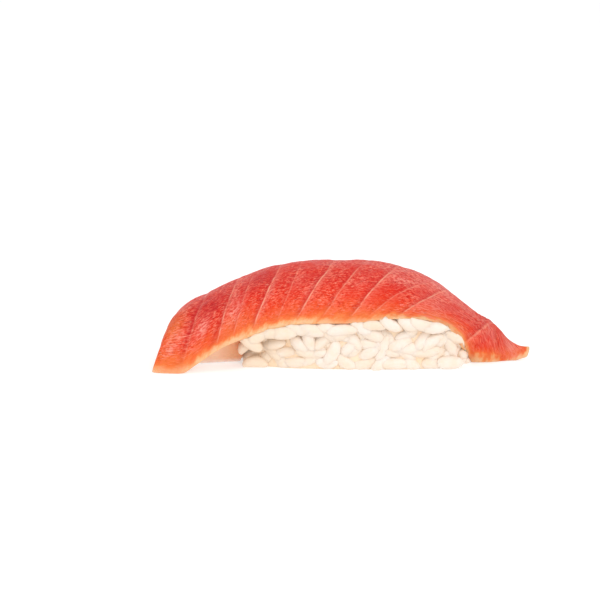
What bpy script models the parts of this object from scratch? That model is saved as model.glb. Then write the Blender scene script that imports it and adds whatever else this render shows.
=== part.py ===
"""Tuna nigiri: a leaning slice of red tuna draped over a pressed finger of rice.

Metres, +Z up. The origin is the centre of the rice's flat base, +X runs along the
nigiri to the slice's pointed tail, and -Y is the side that shows the rice best.
"""

import math
import random

import bmesh
import bpy
import numpy as np
from mathutils import Matrix, Vector
from mathutils.bvhtree import BVHTree

MM = 0.001

# The finger of rice, measured over its grains.
RICE_LENGTH = 53.6 * MM
RICE_WIDTH = 26.4 * MM
RICE_HEIGHT = 17.4 * MM  # before the slice presses its top down
RICE_BELLY = 4.5 * MM  # height at which the finger is widest
RICE_TUCK = 11 * MM  # how far below the belly the sides would close, were there no base
RICE_PLAN_POWER = 3.4  # 2 is an ellipse seen from above, more is squarer
RICE_SIDE_POWER = 3.2
REST_GAP = 0.35 * MM  # between the rice and the slice lying on it
CORE_INSET = 1.2 * MM  # the bare core lies this far inside the grains' backs

# One cooked grain, and how the grains lie round the finger.
GRAIN_LENGTH = 6.6 * MM
GRAIN_WIDTH = 3.2 * MM
GRAIN_THICKNESS = 2.8 * MM
GRAIN_SIDES = 6
GRAIN_RINGS = 4
GRAIN_FULLNESS = 1.14  # a grain's shoulders are this much fuller than an ellipsoid's
SHOULDERS = (0.1, 0.45)  # where they are, as a share of the grain's length from its middle
GRAIN_ROWS = 6
GRAINS_A_ROW = 31
GRAIN_TOP = 13 * MM  # height of the uppermost row
GRAIN_SLANT = math.radians(36)  # spread of the grains about the level
GRAIN_LEAN = math.radians(10)  # most a grain tips out of the finger's surface
GRAIN_JITTER = 0.3  # share of the spacing
GRAIN_SEED = 7
PLATE_GAP = 0.05 * MM  # a grain that sinks stops this far above the plate

CORE_SIDES = 44
CORE_RINGS = 18
OUTLINE_STEPS = 720  # stretches in which the finger's outline is measured
STEPS_A_GRAIN = 40  # fineness of a grain's place along its row

# Three lines of the slice's top face, in mm: place along it, then X, Y and Z. Along is 0
# at the near corner of the head, 1 at the tail's cut, and below 0 where the head's blunt
# end turns down to the plate.
NEAR_EDGE = (
    (-0.16, -44.8, -11.6, 0.6),
    (-0.08, -45.4, -14.4, 0.6),
    (0.00, -45.2, -16.8, 0.6),
    (0.05, -39.6, -17.3, 0.5),
    (0.09, -36.2, -16.6, 2.2),
    (0.13, -32.8, -15.8, 4.4),
    (0.29, -23.8, -14.4, 8.4),
    (0.45, -14.2, -13.8, 11.0),
    (0.63, -0.7, -13.6, 11.5),
    (0.79, 11.5, -13.5, 12.5),
    (0.87, 18.0, -12.8, 11.6),
    (0.92, 22.6, -11.4, 8.8),
    (0.96, 24.9, -9.2, 5.0),
    (1.00, 25.6, -7.0, 3.2),
)
RIDGE = (
    (-0.16, -44.6, -4.5, 0.9),
    (-0.10, -43.9, -4.0, 6.0),
    (-0.05, -41.9, -2.6, 10.4),
    (0.00, -38.8, -0.9, 13.0),
    (0.05, -34.8, 0.2, 14.6),
    (0.13, -29.0, 0.4, 17.3),
    (0.29, -18.0, 0.4, 21.3),
    (0.45, -6.2, 0.2, 22.2),
    (0.63, 7.0, 0.0, 21.8),
    (0.79, 18.6, -0.6, 17.4),
    (0.92, 27.8, -1.8, 11.0),
    (0.96, 31.2, -2.8, 8.6),
    (1.00, 33.8, -4.8, 1.7),
)
FAR_EDGE = (
    (-0.16, -41.0, 6.5, 0.8),
    (-0.08, -38.4, 10.0, 0.9),
    (0.00, -34.2, 12.8, 1.2),
    (0.06, -29.6, 13.8, 3.2),
    (0.13, -23.6, 13.8, 6.8),
    (0.29, -12.0, 13.6, 10.8),
    (0.45, 1.0, 13.6, 11.6),
    (0.63, 14.0, 13.0, 10.8),
    (0.79, 24.6, 10.0, 6.4),
    (0.92, 32.2, 3.8, 2.4),
    (0.96, 35.4, 0.6, 2.2),
    (1.00, 40.4, -3.0, 2.7),
)
ARCH_POWER = 0.88  # 1 makes each half of the arch across the slice a quarter ellipse
LEAN_POWER = 1.25  # above 1 the sinews lean most where the slice hangs down
TAIL_START = 0.84  # from here to the cut the slice flattens out
TAIL_FLATNESS = 0.8
HEAD_TURN = 0.02  # from here back to the head's end the slice rolls over less
HEAD_FLATNESS = 0.7

SLICE_THICKNESS = 5.6 * MM
EDGE_POWER = 2.6  # higher keeps the full thickness nearer to the long edges
EDGE_FALL = 0.8
HEAD_THINNING = 0.3
HEAD_THIN_TO = 0.12
TAIL_THINNING = 0.6
TAIL_THIN_FROM = 0.86
SLICE_EDGE = 0.9 * MM  # thickness left at the two long edges
SLICE_FLOOR = 0.3 * MM  # the drooping ends stop this far above the plate
EDGE_ROLL = math.radians(78)  # how far the slice has turned over at its long edges
HEAD_CUT = 2.4 * MM  # extra thickness of the blunt corners at the head
HEAD_CUT_TO = 0.1
TAIL_CUT = 1.6 * MM
TAIL_CUT_FROM = 0.9

# Sinews cross the slice where its flesh dips: place along it, depth in mm.
SINEWS = ((0.05, 0.5), (0.13, 0.2), (0.29, 0.15), (0.45, 0.12), (0.63, 0.15), (0.79, 0.12), (0.925, 0.3))
SINEW_REACH = 0.016  # half the width of a dip, as a share of the slice's length

# Past the rice's end the head sags, so that its underside rests on the plate.
SAG_START = 27.5 * MM
SAG_END = 28.9 * MM
SAG_INLET = 0.6  # share of the half width over which the near and far rims stay lifted

HEAD_END = NEAR_EDGE[0][0]
SLICE_ROWS = 86
SLICE_COLUMNS = 14

SHARP_CUT = math.radians(50)  # edges sharper than this stay crisp on the slice
SHARP_GRAIN = math.radians(40)


def smooth_step(value, low, high):
    """0 below low, 1 above high, and an S curve between."""
    t = np.clip((value - low) / (high - low), 0, 1)
    return t * t * (3 - 2 * t)


def line_through(knots, along):
    """Points of a smooth curve through the knots, each stretch of it a cubic."""
    table = np.array(knots)
    at, places = table[:, 0], table[:, 1:] * MM
    slopes = np.gradient(places, at, axis=0)
    first = np.clip(np.searchsorted(at, along, side="right") - 1, 0, len(at) - 2)
    span = (at[first + 1] - at[first])[:, None]
    u = (along - at[first])[:, None] / span
    return (
        places[first] * (1 + 2 * u) * (1 - u) ** 2
        + places[first + 1] * u**2 * (3 - 2 * u)
        + slopes[first] * span * u * (1 - u) ** 2
        - slopes[first + 1] * span * u**2 * (1 - u)
    )


def top_face(along, across):
    """Points of the slice's top, for along 0 to 1 and across -1 (near) to 1 (far)."""
    ridge = line_through(RIDGE, along)
    near_side = (across < 0)[:, None]
    edge = np.where(near_side, line_through(NEAR_EDGE, along), line_through(FAR_EDGE, along))
    turn = np.pi / 2 * (1 - np.abs(across))
    share = np.stack([
        np.abs(across) ** LEAN_POWER,
        np.cos(turn) ** ARCH_POWER,
        1 - np.sin(turn) ** ARCH_POWER,
    ], axis=1)
    return ridge + (edge - ridge) * share


def outwards(along, across):
    """Direction of the slice's thickness, which rolls over with the arch and the ridge."""
    step = 0.01
    ridge_run = line_through(RIDGE, along + step) - line_through(RIDGE, along - step)
    flat_tail = 1 - TAIL_FLATNESS * smooth_step(along, TAIL_START, 1.0)
    flat_head = 1 - HEAD_FLATNESS * (1 - smooth_step(along, HEAD_END, HEAD_TURN))
    pitch = np.arctan2(-ridge_run[:, 2], ridge_run[:, 0]) * flat_tail
    roll = EDGE_ROLL * across * flat_tail * flat_head
    return np.stack([
        np.sin(pitch) * np.cos(roll),
        np.sin(roll),
        np.cos(pitch) * np.cos(roll),
    ], axis=1)


def rounding(across):
    """1 in the middle of the slice and 0 at its long edges."""
    return (1 - np.abs(across) ** EDGE_POWER) ** EDGE_FALL


def slice_thickness(along, across):
    """Full in the middle, thinned to the long edges and a little at both ends."""
    body = (SLICE_THICKNESS - SLICE_EDGE) * rounding(across)
    body *= 1 - HEAD_THINNING * (1 - smooth_step(along, 0.0, HEAD_THIN_TO))
    body *= 1 - TAIL_THINNING * smooth_step(along, TAIL_THIN_FROM, 1.0)
    cut = HEAD_CUT * (1 - smooth_step(along, 0.0, HEAD_CUT_TO))
    cut = cut + TAIL_CUT * smooth_step(along, TAIL_CUT_FROM, 1.0)
    return SLICE_EDGE + body + cut * (1 - rounding(across))


def sinew_dip(along):
    """How far the top lies below the full flesh, at the sinews."""
    dips = [depth * MM * np.exp(-(((along - at) / SINEW_REACH) ** 2)) for at, depth in SINEWS]
    return sum(dips)


def sag(points, across):
    """How much of its height the underside gives up, from 0 to 1, where the head sags."""
    past_rice = smooth_step(-points[:, 0], SAG_START, SAG_END)
    return past_rice * smooth_step(1 - np.abs(across), 0.0, SAG_INLET)


def slice_points(along, across, level):
    """Points of the slice, level being 0 on its underside and 1 on its top."""
    out = outwards(along, across)
    top = top_face(along, across) - out * (sinew_dip(along) * rounding(across))[:, None]
    depth = slice_thickness(along, across) * (1 - level)
    points = top - out * depth[:, None]
    points[:, 2] -= (points[:, 2] - SLICE_FLOOR) * sag(points, across) * (1 - level)
    points[:, 2] = np.maximum(points[:, 2], SLICE_FLOOR)
    return points


def rice_rim(turn, height):
    """Point and outward direction on the core's side, turn being an angle round Z."""
    power = 2 / RICE_PLAN_POWER
    cosine, sine = math.cos(turn), math.sin(turn)
    reach = RICE_HEIGHT - RICE_BELLY if height > RICE_BELLY else RICE_TUCK
    rise = min(1.0, abs(height - RICE_BELLY) / reach)
    side = (1 - rise**RICE_SIDE_POWER) ** (1 / RICE_SIDE_POWER)
    length = RICE_LENGTH / 2 - CORE_INSET
    width = RICE_WIDTH / 2 - CORE_INSET
    x = length * side * math.copysign(abs(cosine) ** power, cosine)
    y = width * side * math.copysign(abs(sine) ** power, sine)
    slope = 2 - power
    out = Vector((
        math.copysign(abs(cosine) ** slope, cosine) / length,
        math.copysign(abs(sine) ** slope, sine) / width,
        0.0,
    )).normalized()
    return Vector((x, y, height)), out


def turns_by_length(count):
    """Angles that divide the finger's outline into stretches of equal length."""
    angles = [2 * math.pi * i / OUTLINE_STEPS for i in range(OUTLINE_STEPS + 1)]
    points = [rice_rim(angle, RICE_BELLY)[0] for angle in angles]
    walked = [0.0]
    for first, second in zip(points, points[1:]):
        walked.append(walked[-1] + (second - first).length)
    found = []
    step = 0
    for i in range(count):
        target = walked[-1] * i / count
        while walked[step + 1] < target:
            step += 1
        found.append(angles[step])
    return found


def material(name, colour, roughness):
    made = bpy.data.materials.new(name)
    made.use_nodes = True
    shader = made.node_tree.nodes["Principled BSDF"]
    shader.inputs["Base Color"].default_value = (*colour, 1.0)
    shader.inputs["Roughness"].default_value = roughness
    shader.inputs["Metallic"].default_value = 0.0
    made.diffuse_color = (*colour, 1.0)
    return made


def new_object(name, mesh, collection, finish):
    made = bpy.data.objects.new(name, mesh)
    collection.objects.link(made)
    made.data.materials.append(finish)
    return made


def tuna_slice(collection, finish):
    """A flat slab, extruded from a grid, then laid over the rice by slice_points."""
    form = bmesh.new()
    bmesh.ops.create_grid(form, x_segments=SLICE_ROWS, y_segments=SLICE_COLUMNS, size=1)
    raised = bmesh.ops.extrude_face_region(form, geom=form.faces[:], use_keep_orig=True)
    corners = [item for item in raised["geom"] if isinstance(item, bmesh.types.BMVert)]
    bmesh.ops.translate(form, verts=corners, vec=(0, 0, 1))
    bmesh.ops.recalc_face_normals(form, faces=form.faces[:])
    flat = np.array([vertex.co for vertex in form.verts])
    along = HEAD_END + (1 - HEAD_END) * (flat[:, 0] + 1) / 2
    laid = slice_points(along, flat[:, 1], flat[:, 2])
    for vertex, place in zip(form.verts, laid):
        vertex.co = place
    mesh = bpy.data.meshes.new("tuna_slice")
    form.to_mesh(mesh)
    form.free()
    mesh.shade_smooth()
    mesh.set_sharp_from_angle(angle=SHARP_CUT)
    return new_object("tuna_slice", mesh, collection, finish)


def room_under(tree, point):
    """Height that the slice leaves free over this point of the plate."""
    hit = tree.ray_cast(Vector((point.x, point.y, -MM)), Vector((0, 0, 1)))[0]
    return hit.z - REST_GAP if hit else math.inf


def rice_core(collection, finish, tree):
    """A rounded block, cut flat where it stands and pressed down under the slice."""
    form = bmesh.new()
    bmesh.ops.create_uvsphere(form, u_segments=CORE_SIDES, v_segments=CORE_RINGS, radius=1)
    for vertex in form.verts:
        level = vertex.co.z
        if level > 0:
            top = RICE_HEIGHT - CORE_INSET
            height = RICE_BELLY + (top - RICE_BELLY) * math.sin(math.pi / 2 * level)
        else:
            height = RICE_BELLY + RICE_TUCK * level
        rim, _ = rice_rim(math.atan2(vertex.co.y, vertex.co.x), RICE_BELLY)
        share = max(0.0, 1 - abs(level) ** RICE_SIDE_POWER) ** (1 / RICE_SIDE_POWER)
        vertex.co = Vector((rim.x * share, rim.y * share, height))
    bmesh.ops.bisect_plane(
        form,
        geom=[*form.verts, *form.edges, *form.faces],
        plane_co=(0, 0, 0),
        plane_no=(0, 0, -1),
        clear_outer=True,
    )
    rim_edges = [edge for edge in form.edges if edge.is_boundary]
    bmesh.ops.holes_fill(form, edges=rim_edges)
    for vertex in form.verts:
        vertex.co.z = min(vertex.co.z, room_under(tree, vertex.co))
    mesh = bpy.data.meshes.new("rice_body")
    form.to_mesh(mesh)
    form.free()
    return new_object("rice_body", mesh, collection, finish)


def grain_mesh():
    """A blunt spindle along Z."""
    form = bmesh.new()
    bmesh.ops.create_uvsphere(form, u_segments=GRAIN_SIDES, v_segments=GRAIN_RINGS, radius=0.5)
    for vertex in form.verts:
        on_shoulder = SHOULDERS[0] < abs(vertex.co.z) < SHOULDERS[1]
        full = GRAIN_FULLNESS if on_shoulder else 1.0
        vertex.co.x *= GRAIN_WIDTH * full
        vertex.co.y *= GRAIN_THICKNESS * full
        vertex.co.z *= GRAIN_LENGTH
    mesh = bpy.data.meshes.new("grain")
    form.to_mesh(mesh)
    form.free()
    return mesh


def grain_places():
    """Staggered rows round the finger's side, each grain a little out of line."""
    draw = random.Random(GRAIN_SEED)
    turns = turns_by_length(GRAINS_A_ROW * STEPS_A_GRAIN)
    low = GRAIN_THICKNESS / 2
    spacing = (GRAIN_TOP - low) / (GRAIN_ROWS - 1)
    places = []
    for row in range(GRAIN_ROWS):
        for place in range(GRAINS_A_ROW):
            moved = place + row % 2 / 2 + draw.uniform(-GRAIN_JITTER, GRAIN_JITTER)
            height = low + spacing * (row + draw.uniform(-GRAIN_JITTER, GRAIN_JITTER))
            turn = turns[int(moved * STEPS_A_GRAIN) % len(turns)]
            point, out = rice_rim(turn, max(low, height))
            slant = draw.gauss(0, GRAIN_SLANT)
            level = Vector((-out.y, out.x, 0))
            axis = level * math.cos(slant) + Vector((0, 0, 1)) * math.sin(slant)
            lean = draw.uniform(-GRAIN_LEAN, GRAIN_LEAN)
            axis = (axis * math.cos(lean) + out * math.sin(lean)).normalized()
            places.append((point, axis, out))
    return places


def turned(axis, out):
    """Turn that lays a grain along axis with its flatter side outwards."""
    across = axis.cross(out).normalized()
    back = axis.cross(across).normalized()
    return Matrix((across, back, axis)).transposed()


def add_grains(core, finish, tree):
    """Grains fused to the core, each brought down clear of the slice and off the plate."""
    loose = bpy.data.collections.new("rice_grains")
    bpy.context.scene.collection.children.link(loose)
    mesh = grain_mesh()
    for i, (point, axis, out) in enumerate(grain_places()):
        turn = turned(axis, out)
        corners = [point + turn @ vertex.co for vertex in mesh.vertices]
        crossing = max(corner.z - room_under(tree, corner) for corner in corners)
        lowest = min(corner.z for corner in corners)
        drop = max(0.0, crossing)
        if lowest - drop < 0.0:
            drop = min(0.0, lowest - PLATE_GAP)
        if crossing > drop:
            continue
        grain = new_object(f"grain_{i:03d}", mesh.copy(), loose, finish)
        grain.matrix_world = Matrix.Translation(point - Vector((0, 0, drop))) @ turn.to_4x4()
    fuse = core.modifiers.new("Fuse", "BOOLEAN")
    fuse.operation = "UNION"
    fuse.operand_type = "COLLECTION"
    fuse.collection = loose
    fuse.solver = "EXACT"
    bpy.context.view_layer.update()
    graph = bpy.context.evaluated_depsgraph_get()
    fused = bpy.data.meshes.new_from_object(core.evaluated_get(graph))
    core.modifiers.clear()
    core.data = fused
    for grain in list(loose.objects):
        bpy.data.objects.remove(grain)
    bpy.data.collections.remove(loose)


def keep_outer_shell(piece):
    """Drops the little sealed hollows that fusing leaves between grains and core."""
    form = bmesh.new()
    form.from_mesh(piece.data)
    left = set(form.verts)
    shells = []
    while left:
        reached = [left.pop()]
        shell = set(reached)
        while reached:
            vertex = reached.pop()
            for edge in vertex.link_edges:
                other = edge.other_vert(vertex)
                if other in left:
                    left.remove(other)
                    shell.add(other)
                    reached.append(other)
        shells.append(shell)
    shells.sort(key=len)
    inner = [vertex for shell in shells[:-1] for vertex in shell]
    bmesh.ops.delete(form, geom=inner, context="VERTS")
    form.to_mesh(piece.data)
    form.free()


def surface_tree(piece):
    """Search tree over a piece's surface, for casting rays at it."""
    form = bmesh.new()
    form.from_mesh(piece.data)
    tree = BVHTree.FromBMesh(form)
    form.free()
    return tree


def main():
    for stale in list(bpy.data.objects):
        bpy.data.objects.remove(stale)
    nigiri = bpy.data.collections.new("nigiri")
    bpy.context.scene.collection.children.link(nigiri)
    flesh = material("raw_tuna", (0.72, 0.09, 0.06), 0.35)
    grainy = material("cooked_rice", (0.92, 0.88, 0.8), 0.45)
    fish = tuna_slice(nigiri, flesh)
    tree = surface_tree(fish)
    rice = rice_core(nigiri, grainy, tree)
    add_grains(rice, grainy, tree)
    keep_outer_shell(rice)
    rice.data.shade_smooth()
    rice.data.set_sharp_from_angle(angle=SHARP_GRAIN)
    stand = bpy.data.objects.new("nigiri_base", None)
    nigiri.objects.link(stand)
    for piece in (fish, rice):
        piece.parent = stand


main()
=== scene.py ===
# %% [markdown]
# # A tuna nigiri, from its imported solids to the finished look
#
# Nigiri is a finger of pressed rice with a slice of raw fish laid over it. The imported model
# holds two plain solids, `tuna_slice` and `rice_body`. This notebook keeps their size and
# their place, and puts the real surfaces there: a moist slice with sinews, thin orange
# edges and a folded tail, and some hundreds of loose cooked grains over a sticky core.
# Every shape is an array of points worked out from a few parameters, because soft food has
# no straight edge that a primitive could give.

# %% Load the frame
import math

import bpy
import numpy as np
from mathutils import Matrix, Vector


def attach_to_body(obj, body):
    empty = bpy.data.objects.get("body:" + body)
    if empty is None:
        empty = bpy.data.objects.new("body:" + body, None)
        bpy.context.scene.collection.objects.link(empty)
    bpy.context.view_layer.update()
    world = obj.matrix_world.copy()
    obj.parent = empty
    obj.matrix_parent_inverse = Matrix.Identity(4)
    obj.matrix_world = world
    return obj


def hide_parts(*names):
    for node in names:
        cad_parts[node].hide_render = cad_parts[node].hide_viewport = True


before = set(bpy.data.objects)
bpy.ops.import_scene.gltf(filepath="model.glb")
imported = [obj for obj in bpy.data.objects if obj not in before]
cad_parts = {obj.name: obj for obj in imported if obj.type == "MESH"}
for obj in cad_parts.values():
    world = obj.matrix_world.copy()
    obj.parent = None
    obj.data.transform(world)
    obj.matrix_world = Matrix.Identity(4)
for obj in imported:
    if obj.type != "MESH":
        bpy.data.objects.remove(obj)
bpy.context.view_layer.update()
MM = 0.001

# %% [markdown]
# ## The camera
#
# Food is often shot with a long lens from a low height, which keeps the rice from looking
# squat. The camera stands half a metre off, 15 degrees above the plate, and looks a little
# past the piece, which puts it right of and below the middle of the picture. A camera could
# also be shifted for that, but turning it keeps the other views honest.

# %% Camera
CAMERA_DISTANCE = 0.5
CAMERA_HEIGHT = math.radians(15)
LENS = 127.8
NEAREST_SHOWN = 0.02
LOOK_AT = Vector((-12.9, 0, 13.35)) * MM

eye = bpy.data.objects.new("camera", bpy.data.cameras.new("camera"))
bpy.context.scene.collection.objects.link(eye)
bpy.context.scene.camera = eye
eye.data.lens = LENS
eye.data.clip_start = NEAREST_SHOWN
eye.location = Vector((0, -math.cos(CAMERA_HEIGHT), math.sin(CAMERA_HEIGHT))) * CAMERA_DISTANCE
eye.rotation_euler = (LOOK_AT - eye.location).to_track_quat("-Z", "Y").to_euler()
print("camera at", [round(v, 3) for v in eye.location])

# %% [markdown]
# ## Floor and light
#
# The piece stands on a white sweep in soft, bright light, so the floor is all but pure white
# and shadows are faint. A white world and a floor that glows a little do most of that. Three
# softboxes model the form: the key from the upper left, a wide fill from the front, and one
# from the right. Two small lamps are there for the moist flesh alone, because their
# reflections are the small glints on it. The floor is far wider than the piece, so it fills
# the picture unless the view is so low that the horizon shows. The standard view transform
# keeps whites white.

# %% Floor and light
FLOOR_SIZE = 40.0
FLOOR_WHITE = (0.62, 0.62, 0.62)
FLOOR_ROUGHNESS = 0.9
FLOOR_GLOW = 0.5
WORLD_LIGHT = 0.78
LIT_SPOT = Vector((0, 0, 0.01))
# name, place in m, side in m, watts
LAMPS = (
    ("key", (-0.55, -0.30, 0.60), 0.35, 0.75),
    ("fill", (0.15, -0.95, 0.35), 0.8, 1.1),
    ("side", (0.60, -0.35, 0.50), 0.40, 1.15),
    ("glint_left", (-0.28, -0.30, 0.55), 0.02, 0.30),
    ("glint_right", (0.20, -0.42, 0.45), 0.02, 0.22),
)


def sweep_material(name, colour, roughness):
    """The floor's white, which glows a little, as a lit table does."""
    made = bpy.data.materials.new(name)
    made.use_nodes = True
    shader = made.node_tree.nodes["Principled BSDF"]
    shader.inputs["Base Color"].default_value = (*colour, 1)
    shader.inputs["Roughness"].default_value = roughness
    shader.inputs["Emission Color"].default_value = (1, 1, 1, 1)
    shader.inputs["Emission Strength"].default_value = FLOOR_GLOW
    return made


def softbox(name, place, size, watts):
    """A square lamp at this place, turned to face the rice."""
    lamp = bpy.data.objects.new(name, bpy.data.lights.new(name, "AREA"))
    bpy.context.scene.collection.objects.link(lamp)
    lamp.data.size = size
    lamp.data.energy = watts
    lamp.location = place
    lamp.rotation_euler = (LIT_SPOT - lamp.location).to_track_quat("-Z", "Y").to_euler()
    return lamp


half = FLOOR_SIZE / 2
floor_corners = [(-half, -half, 0), (half, -half, 0), (half, half, 0), (-half, half, 0)]
floor_mesh = bpy.data.meshes.new("floor")
floor_mesh.from_pydata(floor_corners, [], [(0, 1, 2, 3)])
floor_mesh.materials.append(sweep_material("white_sweep", FLOOR_WHITE, FLOOR_ROUGHNESS))
floor = bpy.data.objects.new("floor", floor_mesh)
bpy.context.scene.collection.objects.link(floor)

world = bpy.data.worlds.new("studio")
bpy.context.scene.world = world
world.use_nodes = True
world.node_tree.nodes["Background"].inputs["Color"].default_value = (1, 1, 1, 1)
world.node_tree.nodes["Background"].inputs["Strength"].default_value = WORLD_LIGHT
for lamp_values in LAMPS:
    softbox(*lamp_values)
bpy.context.scene.view_settings.view_transform = "Standard"
print("lamps:", len(LAMPS), "floor side in m:", FLOOR_SIZE)

# %% [markdown]
# ## From arrays to a mesh
#
# Both pieces end as arrays of points and of corner numbers, so one helper writes them into
# a mesh in a single call for each array. Quads and triangles can share a mesh, since each
# face only says where its corners start.

# %% Mesh helper


def mesh_object(name, points, quads, triangles=None):
    """A smooth-shaded object from points (n, 3), quads (m, 4) and triangles (k, 3)."""
    triangles = np.zeros((0, 3), int) if triangles is None else triangles
    corners = np.concatenate([quads.ravel(), triangles.ravel()])
    sizes = np.concatenate([np.full(len(quads), 4), np.full(len(triangles), 3)])
    starts = np.concatenate([[0], np.cumsum(sizes)[:-1]])
    mesh = bpy.data.meshes.new(name)
    mesh.vertices.add(len(points))
    mesh.vertices.foreach_set("co", points.astype(np.float32).ravel())
    mesh.loops.add(len(corners))
    mesh.loops.foreach_set("vertex_index", corners.astype(np.int32))
    mesh.polygons.add(len(sizes))
    mesh.polygons.foreach_set("loop_start", starts.astype(np.int32))
    mesh.update(calc_edges=True)
    mesh.validate()
    mesh.shade_smooth()
    made = bpy.data.objects.new(name, mesh)
    bpy.context.scene.collection.objects.link(made)
    print(name, len(points), "points", len(sizes), "faces")
    return made


def attach(piece, name, values):
    """Stores one number, or one vector, for each point of the piece's mesh."""
    kind, field = ("FLOAT", "value") if values.ndim == 1 else ("FLOAT_VECTOR", "vector")
    layer = piece.data.attributes.new(name, kind, "POINT")
    layer.data.foreach_set(field, values.astype(np.float32).ravel())


def smooth_step(value, low, high):
    """0 below low, 1 above high, and an S curve between."""
    t = np.clip((value - low) / (high - low), 0, 1)
    return t * t * (3 - 2 * t)


LATTICE = 512


def ripple(x, y, size, seed):
    """Smooth random heights from -1 to 1: random values on a square lattice, blended."""
    lattice = np.random.default_rng(seed).uniform(-1, 1, (LATTICE, LATTICE))
    i, j = np.floor(x / size).astype(int), np.floor(y / size).astype(int)
    u, v = x / size - i, y / size - j
    u, v = u * u * (3 - 2 * u), v * v * (3 - 2 * v)
    i, j, i_next, j_next = i % LATTICE, j % LATTICE, (i + 1) % LATTICE, (j + 1) % LATTICE
    near = lattice[i, j] * (1 - u) + lattice[i_next, j] * u
    far = lattice[i, j_next] * (1 - u) + lattice[i_next, j_next] * u
    return near * (1 - v) + far * v


# %% [markdown]
# ## The slice's form
#
# A real slice is a flat slab, some 6 mm thick and cut on the bias, which goes limp over the
# rice. It could be simulated as a soft body, but its drape is known from the solid, so the
# same three lines are used again: its near edge, its ridge and its far edge, each a smooth
# curve through a few places. A point of the slice has three parameters. `along` runs from
# the blunt head to the pointed tail, `across` from the near edge to the far one, and
# `level` from the underside to the top. Every sinew then lies at a fixed `along`.
#
# Past the rice's left end the underside sags to the plate, down a step that follows the
# rice's outline in plan. At the other end the tip curls up a little, and the thin tail's
# underside lies further back than its top, so that it keeps a thickness where it lies flat.

# %% Three lines of the slice
# place along, then x, y and z in mm
NEAR_EDGE = (
    (-0.16, -44.8, -11.6, 0.6),
    (-0.08, -45.4, -14.4, 0.6),
    (0.00, -45.2, -16.8, 0.6),
    (0.05, -39.6, -17.3, 0.5),
    (0.09, -36.2, -16.6, 2.2),
    (0.13, -32.8, -15.8, 4.4),
    (0.29, -23.8, -14.4, 8.4),
    (0.45, -14.2, -13.8, 11.0),
    (0.63, -0.7, -13.6, 11.5),
    (0.79, 11.5, -13.5, 12.5),
    (0.87, 18.0, -12.8, 11.6),
    (0.92, 22.6, -11.4, 8.8),
    (0.96, 24.9, -9.2, 5.0),
    (1.00, 25.6, -7.0, 3.2),
)
RIDGE = (
    (-0.16, -44.6, -4.5, 0.9),
    (-0.10, -43.9, -4.0, 6.0),
    (-0.05, -41.9, -2.6, 10.4),
    (0.00, -38.8, -0.9, 13.0),
    (0.05, -34.8, 0.2, 14.6),
    (0.13, -29.0, 0.4, 17.3),
    (0.29, -18.0, 0.4, 21.3),
    (0.45, -6.2, 0.2, 22.2),
    (0.63, 7.0, 0.0, 21.8),
    (0.79, 18.6, -0.6, 17.4),
    (0.92, 27.8, -1.8, 11.0),
    (0.96, 31.2, -2.8, 8.6),
    (1.00, 33.8, -4.8, 1.7),
)
FAR_EDGE = (
    (-0.16, -41.0, 6.5, 0.8),
    (-0.08, -38.4, 10.0, 0.9),
    (0.00, -34.2, 12.8, 1.2),
    (0.06, -29.6, 13.8, 3.2),
    (0.13, -23.6, 13.8, 6.8),
    (0.29, -12.0, 13.6, 10.8),
    (0.45, 1.0, 13.6, 11.6),
    (0.63, 14.0, 13.0, 10.8),
    (0.79, 24.6, 10.0, 6.4),
    (0.92, 32.2, 3.8, 2.4),
    (0.96, 35.4, 0.6, 2.2),
    (1.00, 40.4, -3.0, 2.7),
)
HEAD_END = NEAR_EDGE[0][0]
ARCH_POWER = 0.88
LEAN_POWER = 1.25
TAIL_START = 0.84
TAIL_FLATNESS = 0.8
HEAD_TURN = 0.02
HEAD_FLATNESS = 0.7
SLICE_THICKNESS = 5.6 * MM
EDGE_POWER = 2.6
EDGE_FALL = 0.8
HEAD_THINNING = 0.3
HEAD_THIN_TO = 0.12
TAIL_THINNING = 0.6
TAIL_THIN_FROM = 0.86
SLICE_EDGE = 0.9 * MM
SLICE_FLOOR = 0.3 * MM
EDGE_ROLL = math.radians(78)
HEAD_CUT = 2.4 * MM
HEAD_CUT_TO = 0.1
TAIL_CUT = 1.6 * MM
TAIL_CUT_FROM = 0.9
SAG_OUTLINE = (1.005, 1.03)  # it sags between these shares of the rice's outline in plan
SAG_LEFT = (14 * MM, 21 * MM)  # and between these distances left of the rice's middle
SAG_INLET = 0.6
RICE_LENGTH = 53.6 * MM
RICE_WIDTH = 26.4 * MM
RICE_PLAN_POWER = 3.4
TIP_LIFT = 0.6 * MM
TIP_ALONG = (0.95, 1.0)
TIP_ACROSS = (0.3, 0.9)
TAIL_BACK = 3.0 * MM
BACK_ALONG = (0.90, 0.96)
BACK_ACROSS = (-0.4, 0.3)
BACK_END = (0.98, 1.0)
BACK_LOST = 0.75  # of the shift, at the very end


def line_through(knots, along):
    """Points of a smooth curve through the knots, each stretch of it a cubic."""
    table = np.array(knots)
    at, places = table[:, 0], table[:, 1:] * MM
    slopes = np.gradient(places, at, axis=0)
    first = np.clip(np.searchsorted(at, along, side="right") - 1, 0, len(at) - 2)
    span = (at[first + 1] - at[first])[:, None]
    u = (along - at[first])[:, None] / span
    return (
        places[first] * (1 + 2 * u) * (1 - u) ** 2
        + places[first + 1] * u**2 * (3 - 2 * u)
        + slopes[first] * span * u * (1 - u) ** 2
        - slopes[first + 1] * span * u**2 * (1 - u)
    )


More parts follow.
